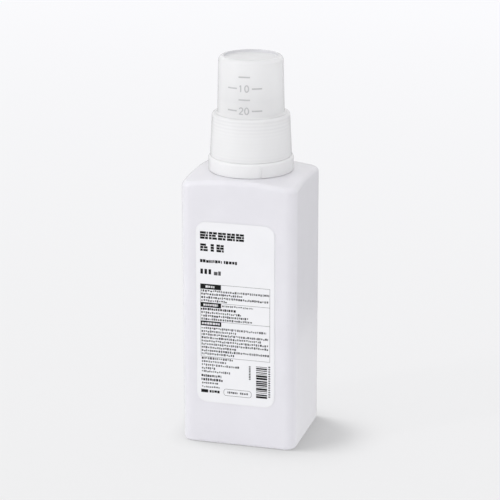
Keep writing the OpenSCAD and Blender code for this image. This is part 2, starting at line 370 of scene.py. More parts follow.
def make_spout_body():
    """Collar, plate, seal ring, rim and drip floor, with both threads."""
    corners = [
        (COLLAR_BORE_R, COLLAR_Z, 0.3), (COLLAR_R, COLLAR_Z, 0.06),
        (COLLAR_R, PLATE_TOP, COLLAR_ROUND), (RIM_R, PLATE_TOP, 0.5),
        (RIM_R, RIM_TOP, 0.3), (RIM_BORE_R, RIM_TOP, 0.45), (RIM_BORE_R, DRIP_Z, 0.8),
        (SPOUT_BORE_R, DRIP_LOW, 0.2), (SPOUT_BORE_R, DRIP_LOW - FLOOR_T, 0.3),
        (RIM_BORE_R, DRIP_Z - FLOOR_T, 0.6), (RIM_BORE_R, PLATE_TOP, 0.8),
        (PLUG_R - PLUG_T, PLATE_Z, 0.5), (PLUG_R - PLUG_T, PLATE_Z - PLUG_LEN, 0.25),
        (PLUG_R, PLATE_Z - PLUG_LEN, 0.5), (PLUG_R, PLATE_Z, 0.4), (COLLAR_BORE_R, PLATE_Z, 0.4),
    ]

    def longest(p):
        on_rim = abs(p[0] - RIM_R) < NEAR and p[1] > PLATE_TOP
        in_collar = abs(p[0] - COLLAR_BORE_R) < NEAR
        return THREAD_STEP if on_rim or in_collar else PLAIN_STEP

    line = densified(rounded(corners, True), True, longest)
    inner_start = NECK_TOP - RIDGE_W - PITCH * (NECK_TURNS - 0.5) + COLLAR_RAISE
    ridges = [
        (RIM_R - NEAR, RIM_R + NEAR, CAP_THREAD_Z, CAP_TURNS, CAP_THREAD_H, RIDGE_W),
        (COLLAR_BORE_R - NEAR, COLLAR_BORE_R + NEAR, inner_start, COLLAR_TURNS, -COLLAR_RIDGE_H,
         INNER_RIDGE_W),
    ]
    return face_outwards(turned("spout_body", line, True, ridges))


def make_spout_tube():
    """The spout: a wall cut on a slant, with a drain slot at its back."""
    slot = math.asin(SLOT_W / 2 / SPOUT_R)
    angles = np.linspace(math.pi / 2 + slot, math.pi * 2.5 - slot, 181)
    lip, low = 0.45, DRIP_LOW - 0.3
    rows = []
    for a in angles:
        def top(r):
            back = r * math.sin(a) + SPOUT_R
            return SPOUT_TOP - LIP_DROP * back / (2 * SPOUT_R)
        section = [(SPOUT_R, low), (SPOUT_R, top(SPOUT_R) - lip)]
        section += [(SPOUT_R - lip + lip * math.cos(t), top(SPOUT_R) - lip + lip * math.sin(t))
                    for t in np.radians([30, 60, 90])]
        section += [(SPOUT_BORE_R + lip + lip * math.cos(t),
                     top(SPOUT_BORE_R) - lip + lip * math.sin(t))
                    for t in np.radians([90, 120, 150, 180])]
        section.append((SPOUT_BORE_R, low))
        rows.append([(r * math.cos(a), r * math.sin(a), z) for r, z in section])
    rows = np.array(rows)
    count, width = rows.shape[:2]
    faces = grid_faces(count, width)
    faces += [tuple(range(width)), tuple((count - 1) * width + i for i in reversed(range(width)))]
    tube = make_object("spout_tube", rows.reshape(-1, 3), faces)
    return face_outwards(tube)


def make_rib():
    """The stop rib on the collar's side, with rounded edges."""
    low, high = COLLAR_Z + 0.6, PLATE_TOP - COLLAR_ROUND - 0.3
    a0 = math.radians(RIB_TURN - 90)
    half = RIB_W / 2 / COLLAR_R
    profile = [(-1.0, -0.3), (-1.0, 0.1), (-0.85, 0.85), (-0.6, 1.0), (0.6, 1.0), (0.85, 0.85),
               (1.0, 0.1), (1.0, -0.3)]
    rows = []
    for z, share in ((low, 0.1), (low + 0.15, 0.85), (low + 0.35, 1), (high - 0.35, 1),
                     (high - 0.15, 0.85), (high, 0.1)):
        row = []
        for s, out in profile:
            r = COLLAR_R + (RIB_PROUD * out * share if out > 0 else RIB_PROUD * out)
            row.append((r * math.cos(a0 + s * half), r * math.sin(a0 + s * half), z))
        rows.append(row)
    rows = np.array(rows)
    count, width = rows.shape[:2]
    faces = grid_faces(count, width)
    faces += [tuple(reversed(range(width))), tuple((count - 1) * width + i for i in range(width))]
    return face_outwards(make_object("collar_rib", rows.reshape(-1, 3), faces))


# The measuring cap

def make_cap():
    """Cup, ledge and threaded skirt in one piece."""
    inner = CUP_LEDGE_R - CUP_WALL
    corners = [
        (0, DISH_Z, 0), (DISH_R - DISH_SLOPE, DISH_Z, 0.5), (DISH_R, CUP_TOP, 0.2),
        (CUP_END_R, CUP_TOP, CUP_ROUND), (CUP_LEDGE_R, LEDGE_TOP, 1.1),
        (SKIRT_TOP_R, LEDGE_TOP, LEDGE_ROUND), (SKIRT_OPEN_R, SKIRT_Z, 0.2),
        (SKIRT_OPEN_R - SKIRT_WALL, SKIRT_Z, 0.35), (SKIRT_TOP_R - SKIRT_WALL, LEDGE_Z, 0.6),
        (RIM_R, LEDGE_Z, 0), (RIM_R, LEDGE_Z - SEAL_H, 0.3), (RIM_BORE_R, LEDGE_Z - SEAL_H, 0.3),
        (RIM_BORE_R, LEDGE_Z, 0.1), (CUP_LEDGE_R, LEDGE_Z, 0.1), (CUP_LEDGE_R, LIP_Z, 0.5),
        (inner, LIP_Z, 0.3), (inner, LEDGE_TOP, 0), (CUP_END_R - CUP_WALL, CUP_ROOF, 1.3),
        (0, CUP_ROOF, 0),
    ]

    def longest(p):
        inside = SKIRT_TOP_R - SKIRT_WALL - 0.05 < p[0] < SKIRT_OPEN_R - SKIRT_WALL + 0.05
        return THREAD_STEP if inside and p[1] < LEDGE_Z - 0.5 else PLAIN_STEP

    line = densified(rounded(corners, False), False, longest)
    ridges = [(SKIRT_TOP_R - SKIRT_WALL + 0.02, SKIRT_OPEN_R - SKIRT_WALL + 0.01,
               CAP_THREAD_Z - PITCH / 2, CAP_TURNS - 0.5, -SKIRT_RIDGE_H, INNER_RIDGE_W)]
    return face_outwards(turned("cap_body", line, False, ridges))


def cup_r(z):
    """Radius of the cup's outside at the height z."""
    return CUP_END_R + (CUP_LEDGE_R - CUP_END_R) * (CUP_TOP - z) / CUP_H


def mark_z(volume):
    """Height of the mark for a volume in cubic millimetres, as the CAD model works it out."""
    depth = 6 * volume / (1000 * MARK_ML)
    for _ in range(6):
        depth = volume / (math.pi * (cup_r(CUP_ROOF - depth / 2) - CUP_WALL) ** 2)
    return CUP_ROOF - depth


def on_cup(turn, z, proud):
    """The point on the cup at a turn from the front, in degrees, and a height."""
    a = math.radians(turn - 90)
    r = cup_r(z) + proud
    return (r * math.cos(a), r * math.sin(a), z)


def stroke(name, path, width, proud=0.15, sink=0.2):
    """A raised line on the cup along points of (turn in degrees, z), with rounded shoulders."""
    path = np.array(path, float)
    closed = np.allclose(path[0], path[-1])
    per_mm = 180 / math.pi / CUP_END_R
    flat = np.column_stack([path[:, 0] / per_mm, path[:, 1]])
    if closed:
        flat = flat[:-1]
    count = len(flat)
    rows = []
    for i, p in enumerate(flat):
        before = flat[i - 1] if closed or i else p
        after = flat[(i + 1) % count] if closed or i < count - 1 else p
        along = after - before
        side = np.array([-along[1], along[0]]) / np.linalg.norm(along) * width / 2
        row = []
        for s, out in ((-1, -sink), (-1, 0.3 * proud), (-0.6, proud), (0.6, proud),
                       (1, 0.3 * proud), (1, -sink)):
            q = p + side * s
            row.append(on_cup(q[0] * per_mm, q[1], out))
        rows.append(row)
    rows = np.array(rows)
    count, wide = rows.shape[:2]
    faces = grid_faces(count, wide, loop=closed)
    if not closed:
        faces += [tuple(reversed(range(wide))),
                  tuple((count - 1) * wide + i for i in range(wide))]
    return face_outwards(make_object(name, rows.reshape(-1, 3), faces, smooth=False))


def arc(cx, cz, rx, rz, start, end, steps=16):
    """Points of an oval arc in millimetres, from one angle in degrees to the other."""
    a = np.radians(np.linspace(start, end, steps + 1))
    return [(cx + rx * math.cos(t), cz + rz * math.sin(t)) for t in a]


def stepped(path, step):
    """Points along a path, about a step apart."""
    points = []
    for (x0, z0), (x1, z1) in zip(path, path[1:]):
        steps = max(1, round(math.hypot(x1 - x0, z1 - z0) / step))
        points += [(x0 + (x1 - x0) * k / steps, z0 + (z1 - z0) * k / steps)
                   for k in range(steps)]
    return points + [path[-1]]


def number_paths(tens):
    """The strokes of the number 10 or 20, in millimetres from its middle."""
    half = DIGIT_H / 2
    if tens == 1:
        first = [[(-1.85, half), (-1.85, -half)], [(-1.85, half), (-2.45, half - 0.75)]]
    else:
        curl = arc(-1.65, half - 0.92, 0.92, 0.92, 165, -35)
        first = [curl + [(-2.65, -half), (-0.6, -half)]]
    return first + [arc(1.3, 0, 1.0, half, 90, 450, 28)]


def make_marks():
    """The marks of the measuring cup and the numbers beside two of them."""
    per_mm = 180 / math.pi / DIGIT_R
    parts = []
    for i in range(1, MARK_COUNT + 1):
        z = mark_z(1000 * MARK_ML * i)
        for low, high in MARK_MIDDLE if i % 2 else MARK_SIDES:
            turns = np.linspace(MARK_TURN + low, MARK_TURN + high, 14)
            parts.append(stroke("mark", [(t, z) for t in turns], MARK_LINE))
    for tens in (1, 2):
        z = mark_z(1000 * MARK_ML * 2 * tens)
        for path in number_paths(tens):
            turns = [(MARK_TURN + x * per_mm, z + dz) for x, dz in stepped(path, 0.35)]
            parts.append(stroke("digit", turns, DIGIT_LINE, proud=0.13))
    return join("cup_marks", parts)


# The label

def label_point(x, z, out):
    """A point of the label: x and z from its lower left corner, out from the bottle's face."""
    return (LABEL_X - LABEL_W / 2 + x, -BODY_D / 2 - out, LABEL_Z + z)


def rounded_plate(name, x0, z0, x1, z1, radius, back, front, bevel=0.0, steps=10):
    """A flat plate with rounded corners on the label's plane, and a bevelled front edge."""
    def loop(shrink, out):
        r = max(radius - shrink, 0.001)
        a0, b0, a1, b1 = x0 + shrink, z0 + shrink, x1 - shrink, z1 - shrink
        points = []
        for cx, cz, start in ((a1 - r, b1 - r, 0), (a0 + r, b1 - r, 90), (a0 + r, b0 + r, 180),
                              (a1 - r, b0 + r, 270)):
            for t in np.radians(np.linspace(start, start + 90, steps + 1)):
                points.append(label_point(cx + r * math.cos(t), cz + r * math.sin(t), out))
        return points
    rings = [loop(0, back), loop(0, front - bevel)]
    if bevel:
        rings.append(loop(bevel, front))
    rings = np.array(rings)
    rows, columns = rings.shape[:2]
    faces = grid_faces(rows, columns)
    faces += [tuple(reversed(range(columns))),
              tuple((rows - 1) * columns + i for i in range(columns))]
    return face_outwards(make_object(name, rings.reshape(-1, 3), faces, smooth=False))


INK_T = 0.02
PRINT_LEFT, PRINT_RIGHT = 2.3, 40.65
RULE_W, FRAME_LOW = 0.16, 26.05

# All places are in millimetres from the label's lower left corner. A row is its left and right
# end, the height of its middle, and the height, mean width and gap of its dashes.
# Blocks of the heading: left, width and height of the middle
HEADING = [(PRINT_LEFT + 0.1 + 4.93 * i, 4.35, 93.7) for i in range(5)]
HEADING += [(2.45, 4.15, 87.0), (8.2, 1.8, 87.0), (11.4, 4.0, 87.0)]
TITLE_ROWS = [(PRINT_LEFT, 14.3, 79.5, 1.75, 1.1, 0.3), (15.4, 22.6, 79.5, 1.75, 1.1, 0.3)]
NUMBER_BLOCKS = [(2.45 + 2.25 * i, 72.3, 3.85 + 2.25 * i, 75.1) for i in range(3)]
UNIT_BLOCKS = [(9.9, 72.0, 11.9, 73.9), (12.3, 72.0, 13.7, 74.3)]

# Rows of small print: height of the middle, right end and height of the dashes
BOX_ROWS = [
    (63.0, 40.2, 1.3), (61.2, 25.9, 1.3), (59.35, 40.1, 1.3), (57.55, 17.0, 1.3),
    (50.8, 24.7, 1.3), (49.0, 28.6, 1.3), (47.2, 31.3, 1.3),
    (42.0, 38.5, 1.3), (40.2, 21.9, 1.3), (38.45, 39.6, 1.3), (36.65, 35.7, 1.3),
    (34.8, 40.1, 1.3), (33.0, 39.6, 1.3), (31.2, 22.4, 1.3), (29.35, 40.1, 1.3),
    (27.55, 20.8, 1.3),
]
LOW_ROWS = [(25.0, 20.2, 1.3), (23.1, 16.3, 1.1), (21.2, 23.5, 1.3), (19.3, 10.1, 1.3),
            (17.5, 18.5, 1.3), (10.8, 12.3, 1.1), (8.65, 12.6, 1.1)]
BOLD_ROWS = [(52.8, 22.0, 1.35), (15.0, 13.6, 1.5), (12.85, 14.8, 1.5)]

# The row beside the second bar, and the last line's solid block and row
SIDE_ROW = (14.3, 31.3, 55.1, 1.05, 0.72, 0.4)
LAST_BLOCK, LAST_ROW = (PRINT_LEFT, 5.3, 6.2, 7.1), (7.0, 12.6, 6.15, 1.5, 1.1, 0.25)

# Black bars: bottom, top, and the stretch that holds pale dashes
BARS = [(63.9, 66.8, 5.2, 10.4), (53.8, 56.5, 3.9, 12.0), (43.4, 46.1, 3.0, 12.9)]
BAR_RIGHT = 13.75

# Below the frame: a rounded outline with its rows, an upright row, and the stripes with theirs
OUTLINE_BOX = (14.9, 4.5, 30.4, 8.4)
OUTLINE_ROWS = [(17.0, 22.8, 6.5, 1.25, 0.85, 0.3), (24.0, 28.4, 6.5, 1.25, 0.85, 0.3)]
UPRIGHT_LEFT, UPRIGHT_RIGHT, UPRIGHT_LOW, CODE_TOP = 29.0, 29.95, 14.9, 23.0
STRIPE_LEFT, STRIPE_RIGHT, STRIPE_LOW, STRIPE_TOP = 33.0, 39.1, 5.0, 23.45
TALLY_LEFT, TALLY_RIGHT, TALLY_LOW, TALLY_TOP = 39.8, 40.8, 5.8, 22.8


def ink_boxes(name, boxes, layer=0):
    """Thin printed blocks on the label, each (x0, z0, x1, z1) from its lower left corner."""
    points, faces = [], []
    back = LABEL_T - 0.01 + layer * INK_T
    front = LABEL_T + (layer + 1) * INK_T
    for x0, z0, x1, z1 in boxes:
        k = len(points)
        for out in (back, front):
            points += [label_point(x, z, out) for x, z in ((x0, z0), (x1, z0), (x1, z1), (x0, z1))]
        faces += [(k, k + 3, k + 2, k + 1), (k + 4, k + 5, k + 6, k + 7),
                  (k, k + 1, k + 5, k + 4), (k + 1, k + 2, k + 6, k + 5),
                  (k + 2, k + 3, k + 7, k + 6), (k + 3, k, k + 4, k + 7)]
    return face_outwards(make_object(name, points, faces, smooth=False))


def dashes(rng, x0, x1, middle, height, mean, gap, uneven=0.2):
    """A row of dashes of uneven size that ends exactly at x1."""
    boxes = []
    x = x0
    while x < x1 - 0.3 * mean:
        end = min(x + mean * rng.uniform(0.6, 1.4), x1)
        tall = height * rng.uniform(1 - uneven, 1.0)
        low = middle - height / 2 + (height - tall) * rng.uniform(0, 1)
        boxes.append((x, low, end, low + tall))
        x = end + gap * rng.uniform(0.7, 1.4)
    return boxes


def outlined(x0, z0, x1, z1, radius, thick, steps=6):
    """Points and faces of a thin printed line round a box with rounded corners."""
    rows = []
    for cx, cz, start in ((x1, z1, 0), (x0, z1, 90), (x0, z0, 180), (x1, z0, 270)):
        cx += -radius if cx == x1 else radius
        cz += -radius if cz == z1 else radius
        for t in np.radians(np.linspace(start, start + 90, steps + 1)):
            near, far = radius - thick, radius
            rows.append([label_point(cx + r * math.cos(t), cz + r * math.sin(t), out)
                         for r, out in ((far, LABEL_T - 0.01), (far, LABEL_T + INK_T),
                                        (near, LABEL_T + INK_T), (near, LABEL_T - 0.01))])
    rows = np.array(rows)
    return rows.reshape(-1, 3), grid_faces(len(rows), 4, loop=True)


def print_heading(rng, dark, grey, pale):
    """The heading's blocks of three thick rows, the two lines below it and the bars."""
    for x, wide, middle in HEADING:
        for k in (-1, 0, 1):
            dark += dashes(rng, x, x + wide, middle + 1.45 * k, 1.25, 2.3, 0.28, 0.1)
    for row in TITLE_ROWS:
        dark += dashes(rng, *row)
    dark += NUMBER_BLOCKS
    grey += UNIT_BLOCKS
    for z0, z1, left, right in BARS:
        dark.append((PRINT_LEFT, z0, BAR_RIGHT, z1))
        pale += dashes(rng, left, right, (z0 + z1) / 2, 1.25, 1.0, 0.28)


def print_rows(rng, dark, grey):
    """Rows of small print, with some of their dashes darker than the rest, and the last line."""
    for middle, end, height in BOX_ROWS + LOW_ROWS:
        for box in dashes(rng, PRINT_LEFT + 0.5, end, middle, height, 0.72, 0.4, 0.45):
            (dark if rng.random() < 0.3 else grey).append(box)
    for middle, end, height in BOLD_ROWS:
        dark += dashes(rng, PRINT_LEFT + 0.2, end, middle, height, 0.85, 0.36, 0.3)
    grey += dashes(rng, *SIDE_ROW, 0.4)
    dark.append(LAST_BLOCK)
    dark += dashes(rng, *LAST_ROW)


def print_rules(grey):
    """Thin rules round the rows."""
    top = BARS[0][1]
    for z, left in ((top, BAR_RIGHT), (BARS[1][1], BAR_RIGHT), (BARS[2][1], BAR_RIGHT),
                    (FRAME_LOW, PRINT_LEFT)):
        grey.append((left, z - RULE_W, PRINT_RIGHT, z))
    for x in (PRINT_LEFT, PRINT_RIGHT - RULE_W):
        grey.append((x, FRAME_LOW, x + RULE_W, top))


def print_codes(rng, dark, grey):
    """The rows in the rounded outline, a narrow upright row and the stripes."""
    for row in OUTLINE_ROWS:
        grey += dashes(rng, *row, 0.3)
    z = UPRIGHT_LOW
    while z < CODE_TOP:
        tall = rng.uniform(0.45, 0.8)
        grey.append((UPRIGHT_LEFT, z, UPRIGHT_RIGHT, z + tall))
        z += tall + rng.uniform(0.2, 0.35)
    z = STRIPE_LOW
    while z < CODE_TOP:
        tall = rng.choice((0.3, 0.5, 0.8, 1.1))
        dark.append((STRIPE_LEFT, z, STRIPE_RIGHT, min(z + tall, STRIPE_TOP)))
        z += tall + rng.choice((0.3, 0.45, 0.65))
    for z in np.arange(TALLY_LOW, TALLY_TOP, 1.3):
        grey.append((TALLY_LEFT, z, TALLY_RIGHT, z + 0.75))


def make_print():
    """The label's print in three tones: bars, rows of dashes, rules and stripes."""
    rng = np.random.default_rng(SEED)
    dark, grey, pale = [], [], []
    print_heading(rng, dark, grey, pale)
    print_rows(rng, dark, grey)
    print_rules(grey)
    print_codes(rng, dark, grey)
    greys = ink_boxes("label_print_grey", grey)
    points, faces = outlined(*OUTLINE_BOX, radius=1.4, thick=0.2)
    line = face_outwards(make_object("outline", points, faces, smooth=False))
    return (ink_boxes("label_print_dark", dark), join("label_print_grey", [greys, line]),
            ink_boxes("label_print_pale", pale, layer=1))


# Materials

def material(name, color, roughness, **sockets):
    """A principled material with plain values set on the shader's own sockets."""
    mat = bpy.data.materials.new(name)
    mat.use_nodes = True
    shader = mat.node_tree.nodes["Principled BSDF"]
    shader.inputs["Base Color"].default_value = (*color, 1)
    shader.inputs["Roughness"].default_value = roughness
    for key, value in sockets.items():
        shader.inputs[key.replace("_", " ")].default_value = value
    return mat, shader


def node(mat, kind, inputs=None, **settings):
    """A new node. Each of its inputs is a value or the socket that feeds it."""
    made = mat.node_tree.nodes.new(kind)
    for key, value in settings.items():
        setattr(made, key, value)
    for key, value in (inputs or {}).items():
        if isinstance(value, bpy.types.NodeSocket):
            mat.node_tree.links.new(value, made.inputs[key])
        else:
            made.inputs[key].default_value = value
    return made


def connect(mat, output, socket):
    """Links an output to a socket."""
    mat.node_tree.links.new(output, socket)


def blotched(mat, shader, color, share, scale, place):
    """A faint cloudy unevenness of the colour, by the given share of it."""
    clouds = node(mat, "ShaderNodeTexNoise", {"Vector": place, "Scale": scale, "Detail": 3.0,
                                              "Roughness": 0.55})
    ramp = node(mat, "ShaderNodeValToRGB", {"Fac": clouds.outputs["Fac"]})
    for element, position, way in zip(ramp.color_ramp.elements, (0.3, 0.7), (-1, 1)):
        element.position = position
        element.color = (*(min(1.0, c * (1 + way * share)) for c in color), 1)
    connect(mat, ramp.outputs["Color"], shader.inputs["Base Color"])


def moulded_plastic(name, color, roughness, cloud=0.02, grain=0.00006, **sockets):
    """Translucent moulded plastic: a faint cloudy tone, a fine satin grain and uneven gloss."""
    mat, shader = material(name, color, roughness, **sockets)
    place = node(mat, "ShaderNodeTexCoord").outputs["Object"]
    blotched(mat, shader, color, cloud, 45.0, place)
    streaks = node(mat, "ShaderNodeTexNoise", {"Vector": place, "Scale": 260.0, "Detail": 4.0})
    gloss = node(mat, "ShaderNodeMapRange", {"Value": streaks.outputs["Fac"],
                                             "To Min": roughness - 0.06,
                                             "To Max": roughness + 0.06})
    connect(mat, gloss.outputs["Result"], shader.inputs["Roughness"])
    fine = node(mat, "ShaderNodeTexNoise", {"Vector": place, "Scale": 1500.0, "Detail": 2.0})
    bump = node(mat, "ShaderNodeBump", {"Height": fine.outputs["Fac"], "Strength": 0.25,
                                        "Distance": grain})
    connect(mat, bump.outputs["Normal"], shader.inputs["Normal"])
    return mat


def see_through(mat, passed, clear, gloss=0.0):
    """Lets a share of the light through a moulded plastic diffusely and a share of it straight,
    and gives its outside the full gloss of a closed wall."""
    surface = mat.node_tree.nodes["Principled BSDF"].outputs["BSDF"]
    milky = node(mat, "ShaderNodeBsdfTranslucent", {"Color": (0.99, 0.99, 0.995, 1)})
    window = node(mat, "ShaderNodeBsdfTransparent")
    soft = node(mat, "ShaderNodeMixShader", {"Fac": passed, 1: surface,
                                             2: milky.outputs["BSDF"]})
    wall = node(mat, "ShaderNodeMixShader", {"Fac": clear, 1: soft.outputs["Shader"],
                                             2: window.outputs["BSDF"]})
    if gloss:
        grazing = node(mat, "ShaderNodeFresnel", {"IOR": 1.4})
        back = node(mat, "ShaderNodeNewGeometry")
        outside = node(mat, "ShaderNodeMath", {0: grazing.outputs["Fac"],
                                               1: back.outputs["Backfacing"]},
                       operation="SUBTRACT", use_clamp=True)
        sheen = node(mat, "ShaderNodeBsdfGlossy", {"Roughness": gloss})
        wall = node(mat, "ShaderNodeMixShader", {"Fac": outside.outputs["Value"],
                                                 1: wall.outputs["Shader"],
                                                 2: sheen.outputs["BSDF"]})
    connect(mat, wall.outputs["Shader"], mat.node_tree.nodes["Material Output"].inputs["Surface"])
    return mat


def by_height(mat, stops):
    """A value that follows the height through stops of (millimetres, value)."""
    low, high = stops[0][0], stops[-1][0]
    place = node(mat, "ShaderNodeTexCoord").outputs["Object"]
    parts = node(mat, "ShaderNodeSeparateXYZ", {"Vector": place}).outputs
    share = node(mat, "ShaderNodeMapRange", {"Value": parts["Z"], "From Min": low * MM,
                                             "From Max": high * MM})
    ramp = node(mat, "ShaderNodeValToRGB", {"Fac": share.outputs["Result"]})
    elements = ramp.color_ramp.elements
    while len(elements) < len(stops):
        elements.new(0.5)
    for element, (z, value) in zip(elements, stops):
        element.position = (z - low) / (high - low)
        element.color = (value, value, value, 1)
    return ramp.outputs["Color"]


def toned(mat, share, shade):
    """Mixes a share of another shade into a plastic's colour."""
    shader = mat.node_tree.nodes["Principled BSDF"]
    plain = shader.inputs["Base Color"].links[0].from_socket
    mixed = node(mat, "ShaderNodeMix", {"Factor": share, "A": plain, "B": (*shade, 1)},
                 data_type="RGBA")
    connect(mat, mixed.outputs["Result"], shader.inputs["Base Color"])


def thread_shade_rings(mat, stops, spacing):
    """A value with faint level rings of painted shade in it, as strong as by_height says."""
    place = node(mat, "ShaderNodeTexCoord").outputs["Object"]
    wave = node(mat, "ShaderNodeTexWave", {"Vector": place, "Scale": WAVES / (spacing * MM),
                                           "Distortion": 0.6, "Detail": 1.0},
                bands_direction="Z")
    strength = node(mat, "ShaderNodeMath", {0: wave.outputs["Fac"], 1: by_height(mat, stops)},
                    operation="MULTIPLY")
    return strength.outputs["Value"]


def lined(obj, lining, inside):
    """Gives the faces for which inside(middle, normal) holds, in millimetres, the lining."""
    obj.data.materials.append(lining)
    last = len(obj.data.materials) - 1
    for face in obj.data.polygons:
        if inside(face.center / MM, face.normal):
            face.material_index = last


def inwards(middle, normal):
    """Whether a face looks at the axis."""
    return normal.x * middle.x + normal.y * middle.y < -0.1 * math.hypot(middle.x, middle.y)


def in_cap(middle, normal):
    """Whether a face of the cap looks into its cup or skirt."""
    roof = normal.z < -0.5 and middle.z > SKIRT_Z + 1
    return middle.z < DISH_Z - NEAR and (inwards(middle, normal) or roof)


def round_dish(middle, normal):
    """Whether a face is the wall round the dish in the cup's end."""
    return middle.z > DISH_Z and inwards(middle, normal)


def in_spout(middle, normal):
    """Whether a face of the spout looks at its axis or down."""
    return inwards(middle, normal) or normal.z < -0.5


def printed(name, color, roughness, share, scale):
    """Film or ink with a slightly uneven tone."""
    mat, shader = material(name, color, roughness, Specular_IOR_Level=0.2)
    place = node(mat, "ShaderNodeTexCoord").outputs["Object"]
    blotched(mat, shader, color, share, scale, place)
    return mat


def put(obj, mat, body, slot, *nodes):
    """Gives a piece its material and body, and hides the nodes that it stands for. Its slot is not
    used.
    """
    obj.data.materials.clear()
    obj.data.materials.append(mat)
    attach(obj, body)
    if nodes:
        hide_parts(*nodes)
    return obj


EVEN = (1.0, 1.0, 1.0)
# Scale of a wave texture whose waves lie one metre apart
WAVES = 2 * math.pi / 20

# Along the cap's height: how much light its wall passes on diffusely and straight, and how strong
# its rings of painted shade are, which stand in for the threads that show through the skirt.
# The wall is thin in the cup, and backed by the spout's rim below the ledge
CAP_PASSED = [(LEDGE_TOP - 4, 0.14), (LEDGE_TOP + 9, 0.28), (CUP_TOP - 1, 0.25)]
CAP_CLEAR = [(LEDGE_TOP - 4, 0.1), (LEDGE_TOP + 9, 0.23), (CUP_TOP - 1, 0.18)]
CAP_THREAD_SHADE = [(SKIRT_Z + 1, 0.4), (SKIRT_Z + 4, 0.04), (LEDGE_TOP - 10, 0.08),
             (LEDGE_TOP - 5, 0.6), (LEDGE_TOP - 0.8, 0.5), (LEDGE_TOP, 0.0)]
RING_SPACING = 1.8
BOTTLE_PLASTIC = see_through(
    moulded_plastic("bottle_plastic", (0.793, 0.783, 0.828), 0.32, Subsurface_Weight=0.5,
                    Subsurface_Radius=EVEN, Subsurface_Scale=0.002),
    passed=0.0, clear=0.0, gloss=0.22)
SPOUT_PLASTIC = see_through(
    moulded_plastic("spout_plastic", (0.96, 0.96, 0.965), 0.36, Subsurface_Weight=0.4,
                    Subsurface_Radius=EVEN, Subsurface_Scale=0.0012),
    passed=0.11, clear=0.05, gloss=0.2)
SPOUT_LINING = see_through(moulded_plastic("spout_lining", (0.95, 0.95, 0.955), 0.36),
                           passed=0.3, clear=0.7)
CAP_PLASTIC = moulded_plastic("cap_plastic", (0.985, 0.985, 0.99), 0.32, Subsurface_Weight=0.3,
                              Subsurface_Radius=EVEN, Subsurface_Scale=0.0005)
# Painted shade: darker rings in the cap's colour, standing in for the threads seen through the skirt
toned(CAP_PLASTIC, thread_shade_rings(CAP_PLASTIC, CAP_THREAD_SHADE, RING_SPACING), (0.88, 0.88, 0.89))
see_through(CAP_PLASTIC, by_height(CAP_PLASTIC, CAP_PASSED), by_height(CAP_PLASTIC, CAP_CLEAR),
            gloss=0.18)
CAP_LINING = see_through(moulded_plastic("cap_lining", (0.98, 0.98, 0.985), 0.3),
                         passed=0.3, clear=0.82)
# Painted shade: a darker grey on the wall round the dish in the cup's end, standing in for its shadow
DISH_WALL_SHADE = moulded_plastic("cap_dish_painted_shade", (0.65, 0.65, 0.67), 0.3)
# Painted shade: the raised marks are moulded in the cap's plastic, and their grey stands in for the
# shade of that relief
MARK_RELIEF_SHADE = printed("mark_painted_shade", (0.52, 0.52, 0.53), 0.5, 0.05, 400.0)
LABEL_FILM = printed("label_film", (0.835, 0.835, 0.853), 0.5, 0.012, 90.0)
DARK_INK = printed("label_ink_dark", (0.004, 0.004, 0.0045), 0.6, 0.3, 700.0)
GREY_INK = printed("label_ink_grey", (0.09, 0.09, 0.093), 0.55, 0.25, 700.0)
PALE_INK = printed("label_ink_pale", (0.7, 0.7, 0.71), 0.55, 0.06, 700.0)

put(make_bottle(), BOTTLE_PLASTIC, "bottle", "bottle_plastic", "bottle")
put(rounded_plate("label_sheet", 0, 0, LABEL_W, LABEL_H, LABEL_CORNER_R, 0.0, LABEL_T, bevel=0.03),
    LABEL_FILM, "bottle", "label_film", "front_label")
for inked, ink in zip(make_print(), (DARK_INK, GREY_INK, PALE_INK)):
    put(inked, ink, "bottle", "label_film")
spout = put(join("spout_moulding", [make_spout_body(), make_spout_tube(), make_rib()]),
            SPOUT_PLASTIC, "pouring_spout", "spout_plastic", "pouring_spout")
lined(spout, SPOUT_LINING, in_spout)
cap = put(make_cap(), CAP_PLASTIC, "measuring_cap", "cap_plastic", "measuring_cap")
lined(cap, CAP_LINING, in_cap)
# The wall round the dish gets its painted shade
lined(cap, DISH_WALL_SHADE, round_dish)
put(make_marks(), MARK_RELIEF_SHADE, "measuring_cap", "cap_plastic")


# Floor, light and camera

BACKDROP = (0.96, 0.96, 0.98)
BRIGHTEST = (-0.32, -0.25, 0.91)
SKY_DIM, SKY_BRIGHT = (0.64, 0.64, 0.646, 1), (1.1, 1.1, 1.11, 1)
LEANING_LEFT = (-0.99, 0.1, 0.1)
FLOOR_HALF = 12.0


def floor_mirrored(mat, place):
    """What the bottle's sides reflect: a paler floor near it, and a darker room further back."""
    away = node(mat, "ShaderNodeVectorMath", {0: place, 1: (0.35, 0.94, 0.0)},
                operation="DOT_PRODUCT")
    side = node(mat, "ShaderNodeMapRange", {"Value": away.outputs["Value"], "From Min": 0.14,
                                            "From Max": 0.24})
    room = node(mat, "ShaderNodeValToRGB", {"Fac": side.outputs["Result"]})
    room.color_ramp.elements[0].color = (0.9, 0.9, 0.91, 1)
    room.color_ramp.elements[1].color = (0.62, 0.62, 0.64, 1)
    return node(mat, "ShaderNodeEmission", {"Color": room.outputs["Color"]})


